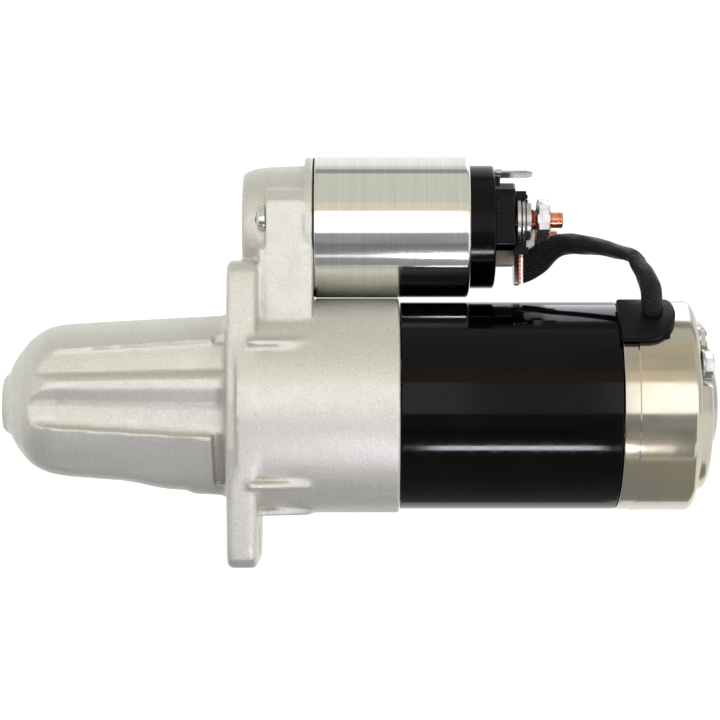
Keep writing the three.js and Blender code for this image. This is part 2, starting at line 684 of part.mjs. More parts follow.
starter.add(
  piece("armature_shaft", armatureShaft(), STEEL),
  piece("armature_core", armatureCore(), DARK_STEEL),
  piece("armature_windings", armatureWindings(), COPPER),
  piece("commutator", commutator(), COPPER),
  piece("rear_bearing", rearBearing(), STEEL),
  piece("field_magnets", fieldMagnets(), FERRITE),
  piece("yoke", tube(BARREL_END + GAP, YOKE_END, YOKE_R - YOKE_WALL, YOKE_R, ROUND), BLACK_PAINT),
  piece("brush_plate", brushPlate(), BRONZE),
  piece("rear_cover", rearCover(), ZINC),
  piece("grommet", grommet(), RUBBER),
  piece("motor_lead", motorLead(), BRAID),
  piece("lead_terminal", leadTerminal(), COPPER),
);

[0, Math.PI].forEach((turn, k) => {
  starter.add(piece(`through_bolt_${k + 1}`, throughBolt(turn), ZINC));
  starter.add(piece(`brush_screw_${k + 1}`, brushScrew(turn), ZINC));
});

BRUSH_ANGLES.forEach((angle, k) => {
  starter.add(piece(`brush_${k + 1}`, brush(angle), CARBON));
  starter.add(piece(`brush_spring_${k + 1}`, brushSpring(angle), STEEL));
});

starter.add(group(0, 0, SOLENOID_Z,
  piece("solenoid_case", solenoidCase(), ZINC),
  piece("solenoid_gasket", solenoidGasket(), RUBBER),
  piece("solenoid_screw_1", solenoidScrew(-1), ZINC),
  piece("solenoid_screw_2", solenoidScrew(1), ZINC),
  piece("coil_bobbin", coilBobbin(), NYLON),
  piece("solenoid_coil", solenoidCoil(), COPPER),
  piece("fixed_core", fixedCore(), STEEL),
  piece("plunger", plunger(), STEEL),
  piece("return_spring", coilSpring(37.3, 61.7, 6, 0.6, 5), STEEL),
  piece("contact_rod", contactRod(), STEEL),
  piece("contact_disc", contactDisc(), COPPER),
  piece("contact_spring", coilSpring(80.3, 88.3, 4.6, 0.5, 3), STEEL),
  piece("terminal_cap", terminalCap(), BLACK_PLASTIC),
  piece("battery_stud", stud(BATTERY_STUD), COPPER),
  piece("battery_washers", batteryWashers(), ZINC),
  piece("battery_nut", nut(BATTERY_STUD, 109.2, 113.7), ZINC),
  piece("motor_stud", stud(MOTOR_STUD), COPPER),
  piece("motor_nut", nut(MOTOR_STUD, 104, 110, 7.6), ZINC),
  piece("spade_terminal", spadeTerminal(), BRONZE)));

export default starter;
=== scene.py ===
"""Looks of a starter motor: cast housing, black yoke, plated rear cover and solenoid, lead and terminals.

Lengths are in millimetres until a mesh is made, in the frame's own axes: +X along the motor towards the rear
cover, +Z up to the solenoid, origin on the motor axis in the flange's mounting face."""
import math

import bmesh
import bpy
import numpy as np
import openvdb
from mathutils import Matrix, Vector


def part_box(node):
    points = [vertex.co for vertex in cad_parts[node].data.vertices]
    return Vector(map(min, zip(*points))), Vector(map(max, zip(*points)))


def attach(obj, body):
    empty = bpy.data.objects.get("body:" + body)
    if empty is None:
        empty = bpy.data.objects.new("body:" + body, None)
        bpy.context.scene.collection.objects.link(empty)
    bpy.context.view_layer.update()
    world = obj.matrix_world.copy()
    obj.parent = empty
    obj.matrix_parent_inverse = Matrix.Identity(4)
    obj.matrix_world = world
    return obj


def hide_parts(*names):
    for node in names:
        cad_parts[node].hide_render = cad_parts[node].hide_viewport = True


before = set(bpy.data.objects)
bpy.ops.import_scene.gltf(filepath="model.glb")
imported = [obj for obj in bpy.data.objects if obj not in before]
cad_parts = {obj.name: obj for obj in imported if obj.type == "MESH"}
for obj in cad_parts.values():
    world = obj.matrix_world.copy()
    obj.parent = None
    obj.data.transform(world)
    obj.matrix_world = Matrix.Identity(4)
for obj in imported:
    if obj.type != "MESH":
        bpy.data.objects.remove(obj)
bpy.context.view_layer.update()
MM = 0.001
TURN = 2 * math.pi


# ---- Places read from the frame ----
def cad_box(node):
    """Lowest and highest corners of a CAD node, in millimetres."""
    low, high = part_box(node)
    return Vector(low) / MM, Vector(high) / MM


def middle(node):
    """A CAD node's centre, in millimetres."""
    low, high = cad_box(node)
    return (low + high) / 2


def line_of(node):
    """Where a piece that lies along X stands, as (y, z)."""
    place = middle(node)
    return place.y, place.z


SOLENOID_Z = middle("solenoid_case").z
SOLENOID_AXIS = (0, SOLENOID_Z)
YOKE_LOW, YOKE_HIGH = cad_box("yoke")
COVER_LOW, COVER_HIGH = cad_box("rear_cover")
HOUSING_LOW, HOUSING_HIGH = cad_box("drive_end_housing")
CASE_LOW, CASE_HIGH = cad_box("solenoid_case")
CAP_END = cad_box("terminal_cap")[1].x
BARREL_R = HOUSING_HIGH.y
BARREL_END = HOUSING_HIGH.x
CAVITY_R = 27.6
FLANGE_T = 10.6
BRACKET_X = 4.9  # front of the solenoid bracket
PAD_X = 30  # the bracket's face that the solenoid is screwed to
CAP_BACK = 94  # end of the cap's round base, where its tower starts
COVER_FACE = 165  # the flat step round the cover's raised island
HEAD_SEAT = COVER_FACE + 0.3  # underside of the heads on the cover
SCREW_PLACES = [line_of(f"solenoid_screw_{k}") for k in (1, 2)]
BOLT_PLACES = [line_of(f"through_bolt_{k}") for k in (1, 2)]
BRUSH_SCREW_PLACES = [line_of(f"brush_screw_{k}") for k in (1, 2)]
BATTERY_STUD = line_of("battery_stud")
MOTOR_STUD = line_of("motor_stud")
STUD_R = 3.9
STUD_HOLE = 4.1  # radius of the washers' holes
NUT_HOLE = 4.05
NUT_FLATS = 13
GROMMET_ANGLE = math.radians(124)  # about the motor axis, from +Y over the top

# The motor lead's middle line from its terminal to the grommet, with a sharp crease before it turns down.
LEAD_ROUTE = [
    (105.6, 4.2, 49.2), (107.7, 3.8, 50.2), (110.3, 3.5, 52.1), (113.9, 2.6, 55.1),
    (117.2, 1.6, 57.4), (120.1, 0.6, 58), (125.6, -2, 57.8), (133, -6.5, 56.5),
    (137.9, -10, 54.9), (142, -13.2, 53.6), (143.9, -15.2, 52.3), (145, -17, 49.8),
    (147.1, -20.8, 45.6), (148.4, -23.8, 40), (149, -22.8, 33.9), (149, -19.2, 28.5),
]
# Height of the lead at lengths along it, broad at the terminal and pinched at the crease.
LEAD_GIRTHS = [
    (0, 10.6), (5, 10.2), (11, 9.2), (18, 7.8), (25, 7.0), (33, 5.7), (41, 4.8), (45.5, 4.7), (47.2, 3.5),
    (49.5, 4.4), (53, 5.4), (57, 6.6), (61, 7.4), (80, 7.5),
]


# ---- Materials ----
def rgb(r, g, b):
    """A colour given as it looks on screen, 0 to 255, in linear light."""
    return tuple(((c / 255) ** 2.2) for c in (r, g, b)) + (1,)


class Finish:
    """A procedural material: two colours mottled together, with grain, streaks and uneven roughness."""

    def __init__(self, name, metallic, roughness, coat=0.0):
        self.material = bpy.data.materials.new(name)
        self.material.use_nodes = True
        self.tree = self.material.node_tree
        self.bsdf = self.tree.nodes["Principled BSDF"]
        self.bsdf.inputs["Metallic"].default_value = metallic
        self.bsdf.inputs["Roughness"].default_value = roughness
        self.bsdf.inputs["Coat Weight"].default_value = coat
        self.bsdf.inputs["Coat Roughness"].default_value = 0.04
        self.place = self.tree.nodes.new("ShaderNodeTexCoord").outputs["Object"]
        self.normal = None

    def node(self, kind, **values):
        made = self.tree.nodes.new(kind)
        for key, value in values.items():
            made.inputs[key].default_value = value
        return made

    def link(self, source, target):
        self.tree.links.new(source, target)

    def noise(self, scale, detail=3.0, stretch=(1, 1, 1), roughness=0.55):
        mapping = self.node("ShaderNodeMapping", Scale=stretch)
        self.link(self.place, mapping.inputs["Vector"])
        noise = self.node("ShaderNodeTexNoise", Scale=scale, Detail=detail, Roughness=roughness)
        self.link(mapping.outputs["Vector"], noise.inputs["Vector"])
        return noise.outputs["Fac"]

    def ranged(self, source, low, high, to_low, to_high):
        spread = self.node(
            "ShaderNodeMapRange", **{"From Min": low, "From Max": high, "To Min": to_low, "To Max": to_high}
        )
        self.link(source, spread.inputs["Value"])
        return spread.outputs["Result"]

    def colours(self, first, second, source, low=0.35, high=0.65):
        mix = self.node("ShaderNodeMix")
        mix.data_type = "RGBA"
        mix.inputs["A"].default_value = first
        mix.inputs["B"].default_value = second
        self.link(self.ranged(source, low, high, 0, 1), mix.inputs["Factor"])
        self.link(mix.outputs["Result"], self.bsdf.inputs["Base Color"])
        return self

    def rough(self, source, low, high):
        self.link(self.ranged(source, 0.3, 0.7, low, high), self.bsdf.inputs["Roughness"])
        return self

    def bump(self, source, depth, strength=1.0):
        bump = self.node("ShaderNodeBump", Strength=strength, Distance=depth * MM)
        self.link(source, bump.inputs["Height"])
        if self.normal is not None:
            self.link(self.normal, bump.inputs["Normal"])
        self.normal = bump.outputs["Normal"]
        self.link(self.normal, self.bsdf.inputs["Normal"])
        return self


def cast_aluminium():
    f = Finish("cast_aluminium", 0.7, 0.5)
    grain = f.noise(1700, 3, roughness=0.6)
    f.colours(rgb(196, 195, 188), rgb(216, 215, 207), grain, 0.32, 0.68)
    f.rough(f.noise(200), 0.42, 0.56)
    return f.bump(grain, 0.1, 0.8).bump(f.noise(500, 3), 0.12, 0.5).bump(f.noise(120, 2), 0.12, 0.4).material


def gloss_black():
    f = Finish("gloss_black", 0.0, 0.1)
    f.bsdf.inputs["Specular IOR Level"].default_value = 0.15
    f.colours(rgb(9, 8, 9), rgb(15, 13, 14), f.noise(60, 2))
    f.rough(f.noise(300), 0.05, 0.12)
    return f.bump(f.noise(70, 3), 0.05, 0.25).material


def zinc_plate():
    """Plated steel with fine turning lines round it."""
    f = Finish("zinc_plate", 1.0, 0.1)
    lines = f.noise(1, 5, stretch=(1500, 24, 24), roughness=0.7)
    f.colours(rgb(208, 210, 204), rgb(224, 225, 219), lines, 0.3, 0.7)
    f.rough(f.noise(1, 3, stretch=(2500, 120, 120)), 0.06, 0.13)
    return f.bump(lines, 0.0015, 0.4).material


def yellow_zinc():
    """Bright drawn steel with a faint straw tint in clouds and slight waviness."""
    f = Finish("yellow_zinc", 1.0, 0.12)
    f.colours(rgb(176, 178, 175), rgb(200, 190, 164), f.noise(28, 4), 0.35, 0.65)
    f.rough(f.noise(60, 4), 0.08, 0.2)
    f.bump(f.noise(1, 3, stretch=(60, 160, 160)), 0.03, 0.35)
    return f.bump(f.noise(900, 2), 0.002, 0.5).material


def machined_steel(name, deep=rgb(160, 160, 162), light=rgb(196, 196, 196)):
    f = Finish(name, 1.0, 0.32)
    f.colours(deep, light, f.noise(200, 4))
    f.rough(f.noise(1, 3, stretch=(2500, 200, 200)), 0.24, 0.42)
    return f.bump(f.noise(1, 2, stretch=(3500, 60, 60)), 0.01, 0.6).material


def copper():
    f = Finish("copper", 1.0, 0.28)
    f.colours(rgb(186, 112, 84), rgb(212, 150, 122), f.noise(350, 4))
    f.rough(f.noise(700), 0.22, 0.38)
    return f.bump(f.noise(1500, 2), 0.01, 0.5).material


def winding_copper():
    f = Finish("winding_copper", 0.9, 0.3, coat=0.5)
    f.colours(rgb(130, 52, 30), rgb(182, 92, 52), f.noise(1, 2, stretch=(200, 900, 900)))
    return f.bump(f.noise(1, 1, stretch=(300, 1400, 1400)), 0.3, 0.8).material


def bronze():
    f = Finish("bronze", 1.0, 0.36)
    f.colours(rgb(168, 124, 62), rgb(198, 156, 92), f.noise(400, 4))
    return f.rough(f.noise(500), 0.3, 0.46).bump(f.noise(1800, 2), 0.012, 0.6).material


def moulded(name, first, second, roughness, specular=0.4):
    f = Finish(name, 0.0, roughness)
    f.bsdf.inputs["Specular IOR Level"].default_value = specular
    f.colours(first, second, f.noise(180, 3))
    f.rough(f.noise(600), roughness - 0.06, roughness + 0.07)
    return f.bump(f.noise(1700, 2), 0.015, 0.6).material


def ferrite():
    f = Finish("ferrite", 0.1, 0.75)
    f.colours(rgb(44, 43, 45), rgb(66, 64, 65), f.noise(700, 5))
    return f.bump(f.noise(1300, 4), 0.05, 0.7).material


def braid():
    """Woven sleeve: two crossed sets of ribs that follow the lead's own length and girth."""
    f = Finish("braid", 0.0, 0.38)
    f.bsdf.inputs["Specular IOR Level"].default_value = 0.2
    uv = f.tree.nodes.new("ShaderNodeTexCoord").outputs["UV"]
    ribs = []
    for slant in (1, -1):
        mapping = f.node("ShaderNodeMapping", Scale=(1, slant, 1), Rotation=(0, 0, math.radians(45)))
        f.link(uv, mapping.inputs["Vector"])
        wave = f.node("ShaderNodeTexWave", Scale=0.42, Distortion=0.8, Detail=1)
        f.link(mapping.outputs["Vector"], wave.inputs["Vector"])
        ribs.append(wave.outputs["Fac"])
    both = f.tree.nodes.new("ShaderNodeMath")
    both.operation = "MAXIMUM"
    f.link(ribs[0], both.inputs[0])
    f.link(ribs[1], both.inputs[1])
    # The weave's crests are painted lighter than its hollows: painted glints on the strands, laid over the
    # weave's real bumps.
    f.colours(rgb(4, 4, 5), rgb(44, 45, 48), both.outputs["Value"], 0.78, 1.0)
    return f.bump(both.outputs["Value"], 0.35, 0.9).bump(f.noise(220, 3), 0.5, 0.5).material


CAST = cast_aluminium()
BLACK = gloss_black()
ZINC = zinc_plate()
COVER_ZINC = yellow_zinc()
STEEL = machined_steel("steel")
DARK_STEEL = machined_steel("dark_steel", rgb(88, 88, 90), rgb(120, 120, 122))
COPPER = copper()
WINDING = winding_copper()
BRONZE = bronze()
PLATED = machined_steel("plated_steel")
PLASTIC = moulded("black_plastic", rgb(6, 6, 7), rgb(11, 10, 12), 0.13, 0.15)
RESIN = moulded("cast_resin", rgb(104, 96, 88), rgb(134, 124, 112), 0.5)
NYLON = moulded("nylon", rgb(206, 198, 178), rgb(222, 216, 200), 0.5)
CARBON = moulded("carbon", rgb(52, 44, 40), rgb(86, 66, 54), 0.6)
RUBBER = moulded("rubber", rgb(7, 7, 8), rgb(17, 17, 18), 0.45, 0.14)
FERRITE = ferrite()
BRAID = braid()


# ---- Meshes ----
SHARP = 38  # degrees between two faces from which their edge stays sharp
MADE = []


def new_object(name, shapes):
    """An object of several (vertices, faces) shapes in millimetres."""
    vertices, faces = [], []
    for more_vertices, more_faces in shapes:
        base = len(vertices)
        vertices += [tuple(c * MM for c in v) for v in more_vertices]
        faces += [tuple(i + base for i in face) for face in more_faces]
    mesh = bpy.data.meshes.new(name)
    mesh.from_pydata(vertices, [], faces)
    obj = bpy.data.objects.new(name, mesh)
    bpy.context.collection.objects.link(obj)
    return obj


def make(name, shapes, material, node, body="housing", sharp=SHARP, bevel=0.0, uvs=None):
    """One object of several shapes, riding on a body and standing for its CAD node."""
    obj = new_object(name, shapes)
    mesh = obj.data
    if uvs is not None:
        layer = mesh.uv_layers.new(name="girth")
        for loop in mesh.loops:
            layer.data[loop.index].uv = uvs[loop.vertex_index]
    face_outwards(mesh)
    mesh.materials.append(material)
    if bevel:
        edge = obj.modifiers.new("edge", "BEVEL")
        edge.width = bevel * MM
        edge.segments = 3
        edge.limit_method = "ANGLE"
        edge.angle_limit = math.radians(32)
    smooth(mesh, sharp)
    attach(obj, body)
    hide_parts(node)
    MADE.append(obj)
    return obj


def smooth(mesh, sharp):
    """Smooth shading with sharp edges from an angle in degrees."""
    mesh.shade_smooth()
    mesh.set_sharp_from_angle(angle=math.radians(sharp))


def face_outwards(mesh):
    """Merges doubled points and turns the faces outwards."""
    work = bmesh.new()
    work.from_mesh(mesh)
    bmesh.ops.remove_doubles(work, verts=work.verts, dist=1e-7)
    bmesh.ops.recalc_face_normals(work, faces=work.faces)
    work.to_mesh(mesh)
    work.free()


def filleted(corners, steps=5):
    """Points of a closed outline whose corners (a, b, radius) are rounded."""
    points = []
    for i, (a, b, radius) in enumerate(corners):
        here = Vector((a, b))
        back = Vector(corners[i - 1][:2]) - here
        ahead = Vector(corners[(i + 1) % len(corners)][:2]) - here
        half = back.angle(ahead) / 2
        if radius <= 0 or half > math.radians(89):
            points.append((a, b))
            continue
        reach = min(radius / math.tan(half), 0.48 * back.length, 0.48 * ahead.length)
        centre = here + (back.normalized() + ahead.normalized()).normalized() * (reach / math.cos(half))
        start = here + back.normalized() * reach - centre
        end = here + ahead.normalized() * reach - centre
        first = math.atan2(start.y, start.x)
        sweep = (math.atan2(end.y, end.x) - first + math.pi) % TURN - math.pi
        for k in range(steps + 1):
            at = first + sweep * k / steps
            points.append((centre.x + start.length * math.cos(at), centre.y + start.length * math.sin(at)))
    return points


def skin(rings, closed):
    """Quads between rings of equal length; each ring is a closed loop of points."""
    count, around = len(rings), len(rings[0])
    faces = []
    for i in range(count if closed else count - 1):
        a, b = i * around, ((i + 1) % count) * around
        faces += [(a + j, a + (j + 1) % around, b + (j + 1) % around, b + j) for j in range(around)]
    if not closed:
        faces += [tuple(range(around)), tuple(range((count - 1) * around, count * around))]
    return [p for ring in rings for p in ring], faces


def lathe(profile, segments=96, centre=(0, 0), shape=None, closed=True):
    """A solid of revolution about X from (x, radius) points that close on themselves.

    shape(x, radius, angle) may change a point's radius, for a hexagon's or a thread's sides."""
    rings = []
    for x, radius in profile:
        ring = []
        for j in range(segments):
            at = TURN * j / segments
            r = shape(x, radius, at) if shape else radius
            ring.append((x, centre[0] + r * math.cos(at), centre[1] + r * math.sin(at)))
        rings.append(ring)
    return skin(rings, closed)


def disc(profile, segments=64, centre=(0, 0), shape=None):
    """The same for a solid without a hole: its first and last points are ends closed by flat faces."""
    return lathe(profile, segments, centre, shape, closed=False)


def tube(x0, x1, inner, outer, edge=0.4, segments=96, centre=(0, 0)):
    corners = [(x0, inner, edge), (x0, outer, edge), (x1, outer, edge), (x1, inner, edge)]
    return lathe(filleted(corners, 3), segments, centre)


def prism(outline, x0, x1):
    """A prism along X of an outline in (y, z)."""
    return skin([[(x, y, z) for y, z in outline] for x in (x0, x1)], closed=False)


def block(low, high):
    (x0, y0, z0), (x1, y1, z1) = low, high
    return prism([(y0, z0), (y1, z0), (y1, z1), (y0, z1)], x0, x1)


def moved(shape, change):
    vertices, faces = shape
    return [change(v) for v in vertices], faces


def spun(shape, angle):
    """A shape turned about the X axis."""
    cos, sin = math.cos(angle), math.sin(angle)
    return moved(shape, lambda v: (v[0], v[1] * cos - v[2] * sin, v[1] * sin + v[2] * cos))


def hexagonal(across_flats, flat_r):
    """Radius rule that keeps flat_r and less round and pulls anything further out to a hexagon."""
    def rule(_, radius, at):
        side = (at + TURN / 12) % (TURN / 6) - TURN / 12
        return radius if radius <= flat_r else across_flats / 2 / math.cos(side)
    return rule


def nut(x0, x1, across_flats, hole, centre, segments=72):
    """A hexagonal nut with its corners chamfered at both faces."""
    flat_r = across_flats * 0.475
    rise = across_flats * 0.045
    profile = [
        (x0 + 0.5, hole), (x0, hole + 0.5), (x0, flat_r), (x0 + rise, across_flats),
        (x1 - rise, across_flats), (x1, flat_r), (x1, hole + 0.5), (x1 - 0.5, hole),
    ]
    return lathe(profile, segments, centre, hexagonal(across_flats, flat_r))


def threaded(x0, x1, radius, pitch, centre, start=0.0):
    """A rod with a helical thread from start along it and a chamfered end."""
    steps = int((x1 - x0) / pitch * 6)
    depth = pitch * 0.5

    def rule(x, r, at):
        if x < x0 + start:
            return r
        wave = abs((x / pitch + at / TURN) % 1 - 0.5) * 2
        return min(r - depth * wave, radius - depth + max(0.0, (x1 - x)) * 0.9)

    profile = [(x0 + (x1 - x0) * i / steps, radius) for i in range(steps + 1)]
    return disc(profile, 40, centre, rule)


def involute(angle):
    return math.tan(angle) - angle


def gear_outline(teeth, module, tip, root, phase=0.0, steps=5):
    """Outline of a spur gear with involute flanks, for a pressure angle of 20 degrees."""
    pitch_r, pressure = teeth * module / 2, math.radians(20)
    base_r = pitch_r * math.cos(pressure)

    def half(r):
        """Half of a tooth's angle at a radius, less a little play."""
        turned = involute(math.acos(min(1.0, base_r / r)))
        return math.pi / (2 * teeth) + involute(pressure) - turned - 0.06 / pitch_r

    lowest = max(root, base_r)
    radii = [root] + [lowest + (tip - lowest) * i / steps for i in range(steps + 1)]
    points = []
    for tooth in range(teeth):
        mid = phase + tooth * TURN / teeth
        points += [(r, mid - half(max(r, base_r))) for r in radii]
        points += [(r, mid + half(max(r, base_r))) for r in reversed(radii)]
    return [(r * math.cos(a), r * math.sin(a)) for r, a in points]


# ---- Castings as distance fields ----
class Field:
    """Signed distances in millimetres on a grid round a casting, negative inside the metal."""

    STEP = 0.8

    def __init__(self, low, high):
        self.low = np.array(low, float) - 3
        count = np.ceil((np.array(high, float) + 3 - self.low) / self.STEP).astype(int)
        x, y, z = (self.low[k] + self.STEP * np.arange(count[k]) for k in range(3))
        self.x, self.y, self.z = x[:, None, None], y[None, :, None], z[None, None, :]

    @staticmethod
    def polygon(a, b, corners):
        """Distance to a polygon in the plane of a and b."""
        a, b = np.broadcast_arrays(a, b)
        nearest = np.full(a.shape, 1e9)
        inside = np.zeros(a.shape, bool)
        for (a0, b0), (a1, b1) in zip(corners, corners[1:] + corners[:1]):
            da, db = a1 - a0, b1 - b0
            along = np.clip(((a - a0) * da + (b - b0) * db) / (da * da + db * db), 0, 1)
            nearest = np.minimum(nearest, (a - a0 - along * da) ** 2 + (b - b0 - along * db) ** 2)
            crosses = (b0 > b) != (b1 > b)
            slope = da / db if db else 0.0
            inside ^= crosses & (a < a0 + (b - b0) * slope)
        return np.sqrt(nearest) * np.where(inside, -1, 1)

    @staticmethod
    def slab(along, low, high):
        """Distance to the space between two heights along an axis."""
        return np.maximum(low - along, along - high)

    def prism_x(self, corners, x0, x1, edge=0.6):
        return meet(self.polygon(self.y, self.z, corners), self.slab(self.x, x0, x1), edge)

    def prism_y(self, corners, y0, y1, edge=0.6):
        return meet(self.polygon(self.x, self.z, corners), self.slab(self.y, y0, y1), edge)

    def prism_z(self, corners, z0, z1, edge=0.6):
        return meet(self.polygon(self.x, self.y, corners), self.slab(self.z, z0, z1), edge)

    def revolved(self, corners, centre=(0, 0)):
        """A solid of revolution about X from (x, radius) corners, worked out once on a plane."""
        reach = np.arange(0, 160, 0.25)
        plane = self.polygon(self.x[:, 0, :], reach[None, :], corners)
        at = np.sqrt((self.y - centre[0]) ** 2 + (self.z - centre[1]) ** 2)[0] / 0.25
        low = np.floor(at).astype(int)
        part = at - low
        return (plane[:, low] * (1 - part) + plane[:, low + 1] * part).astype(np.float32)

    def rod_x(self, x0, x1, radius, centre, edge=0.4):
        away = np.sqrt((self.y - centre[0]) ** 2 + (self.z - centre[1]) ** 2) - radius
        return meet(away, self.slab(self.x, x0, x1), edge)

    def block(self, low, high, edge=0.6):
        sides = [self.slab(axis, low[k], high[k]) for k, axis in enumerate((self.x, self.y, self.z))]
        return meet(meet(sides[0], sides[1], edge), sides[2], edge)

    def shape(self, distances):
        """Vertices and faces of the surface where the distance is nothing."""
        grid = openvdb.FloatGrid(background=3.0)
        grid.copyFromArray(np.clip(distances, -3, 3).astype(np.float32))
        points, triangles, quads = grid.convertToPolygons(isovalue=0.0, adaptivity=0.0)
        faces = [tuple(int(i) for i in face) for face in [*triangles, *quads]]
        return (points * self.STEP + self.low).tolist(), faces


def blend(a, b, k):
    """Union of two distance fields with a fillet of about k."""
    h = np.maximum(k - np.abs(a - b), 0) / k
    return np.minimum(a, b) - h * h * k / 4


def meet(a, b, k):
    """Intersection with an edge rounded by about k."""
    return -blend(-a, -b, k)


def carve(a, b, k=0.5):
    """a with b taken away."""
    return meet(a, -b, k)


# ---- Drive end housing ----
def nose_field(f):
    """Bullet-shaped nose with slanted flanks, shallow underneath, and flutes beside a rib on one side."""
    bullet = f.revolved([
        (HOUSING_LOW.x, 0), (HOUSING_LOW.x, 10.2), (-79.6, 11.2), (-78.6, 12.4), (-77.2, 15.6), (-75.5, 18.4),
        (-71.8, 23.1), (-68.1, 26.1), (-64.4, 28), (-60.6, 28.9), (-56.9, 29.3), (-38, 30.4), (-4, 32.2),
        (3, 32.6), (3, 0),
    ])
    flank_y, flank_z = 0.766, 0.643  # way that the slanted flanks face, 40 degrees below level
    for side in (-1, 1):
        bullet = meet(bullet, side * f.y * flank_y - f.z * flank_z - 27.9, 4)
    under = f.prism_y([
        (-95, -80), (-95, -10.8), (-79.5, -10.8), (-77.4, -13.2), (-75.5, -16.2), (-73.3, -18.8),
        (-70.3, -21.4), (-67, -22.9), (-62.9, -24.3), (-56.9, -25.3), (-43.5, -26.4), (-38.2, -26.8),
        (-32.3, -27.9), (-27, -29.6), (-21.8, -30.8), (-15.9, -31.3), (-8, -80),
    ], -50, 50)
    bullet = carve(bullet, under, 4)
    # The flutes narrow towards the tip, about the height of the rib between them.
    rib_z = 6
    spread = np.clip(0.79 + 0.21 * (f.x + 61) / 56.3, 0.74, 1.03)
    across = rib_z + (f.z - rib_z) / spread
    floor = np.interp(
        across,
        [-11.2, -10.6, -9.6, -7, -1, 1, 5.2, 6.2, 9.6, 10.8, 12.9, 14.5, 18, 22.3, 23.2],
        [28.6, 26.0, 24.5, 23.9, 23.9, 24.3, 27.0, 27.6, 27.3, 26.6, 23.2, 23.0, 22.2, 21.0, 21.4],
    )
    rising = np.clip(-60 - f.x, 0, 20) * 0.12
    flutes = meet((f.y + floor + rising) * 0.85, f.slab(across, -10.8, 23), 0.6)
    bullet = carve(bullet, flutes, 0.7)
    pocket = meet(f.slab(f.x, -4.9, -0.3), f.slab(f.z, -27.8, -9), 0.4)
    pocket = meet(pocket, 24.6 + f.y * flank_y + f.z * flank_z, 0.4)
    return carve(bullet, pocket, 0.3)


def flange_field(f):
    """Plate with a lobe above and below, the same on both sides."""
    side = [
        (20, 51.3, 0), (24.5, 50.2, 0), (27.4, 47.4, 0), (28.4, 43.5, 0), (29.5, 38, 4), (33.4, 18, 12),
        (35, 2, 16), (34, -14, 16), (29, -34, 20), (26.4, -49, 4), (24.8, -53.5, 0), (21.5, -56.3, 0),
        (17, -57.1, 0),
    ]
    corners = filleted(side + [(-y, z, r) for y, z, r in reversed(side)], 5)
    return f.prism_x(corners, 0, FLANGE_T, 2.4)


def bracket_field(f):
    """Dome in front of the solenoid with a seam, its foot on the barrel and a boss for each screw."""
    dome_corners = [
        (BRACKET_X, 0, 0), (BRACKET_X, 19.1, 1.2), (7.2, 20.2, 0), (10, 21.05, 0), (15.7, 21.6, 0),
        (26.9, 22, 0), (26.9, 25, 0.7), (PAD_X, 25, 0.4), (PAD_X, 0, 0),
    ]
    dome = f.revolved(filleted(dome_corners, 5), SOLENOID_AXIS)
    seam = f.prism_y([(8.9, 50.8), (27.9, 55.4), (27.9, 56.4), (8.9, 51.8)], -30, 30, 0.3)
    dome = blend(dome, meet(dome - 0.5, seam, 0.3), 0.6)
    foot_corners = [
        (-23.8, 30), (23.8, 30), (23.8, 55), (15, SOLENOID_Z), (-15, SOLENOID_Z), (-23.8, 55),
    ]
    metal = blend(dome, f.prism_x(foot_corners, 11, PAD_X, 0.8), 1.5)
    for y, z in SCREW_PLACES:
        way = math.copysign(1, y)
        boss_corners = [
            (0, 30, 0), (way * 24, 30, 0), (way * 24.2, 72.2, 1.5), (way * 20, 76.5, 1.5), (way * 12, 77, 0),
            (0, 77, 0),
        ]
        metal = blend(metal, f.prism_x(filleted(boss_corners, 4), 13.5, PAD_X - 3.2, 0.7), 1.0)
        metal = carve(metal, f.rod_x(10, 31, 2.5, (y, z)), 0.3)
    return metal


def gusset_field(f):
    """Low ribs that run from the flange's back along the barrel."""
    front, back = 8, 29
    ribs = []
    for side in (-1, 1):
        for z, reach in ((22.4, 35.5), (-27.3, 32.5), (-37.6, 17)):
            root = side * (reach - 14)
            top = [
                (front, side * (reach + 1.5)), (FLANGE_T + 2, side * (reach + 1)), (back, side * (reach - 5)),
                (back, root), (front, root),
            ]
            ribs.append(f.prism_z(top, z - 1.1, z + 1.1, 1.2))
    return np.minimum.reduce(ribs)


def cavity_field(f):
    """The bores for the bush, the pinion's travel and the gearbox."""
    corners = [
        (-77.6, 0, 0), (-77.6, 8.2, 0), (-66, 8.2, 0), (-66, 14, 1), (-61, 22.6, 4), (1, 22.6, 0.5),
        (1, 26, 1), (4, 26, 0.5), (4, CAVITY_R, 1), (70, CAVITY_R, 0), (70, 0, 0),
    ]
    return f.revolved(filleted(corners, 4))


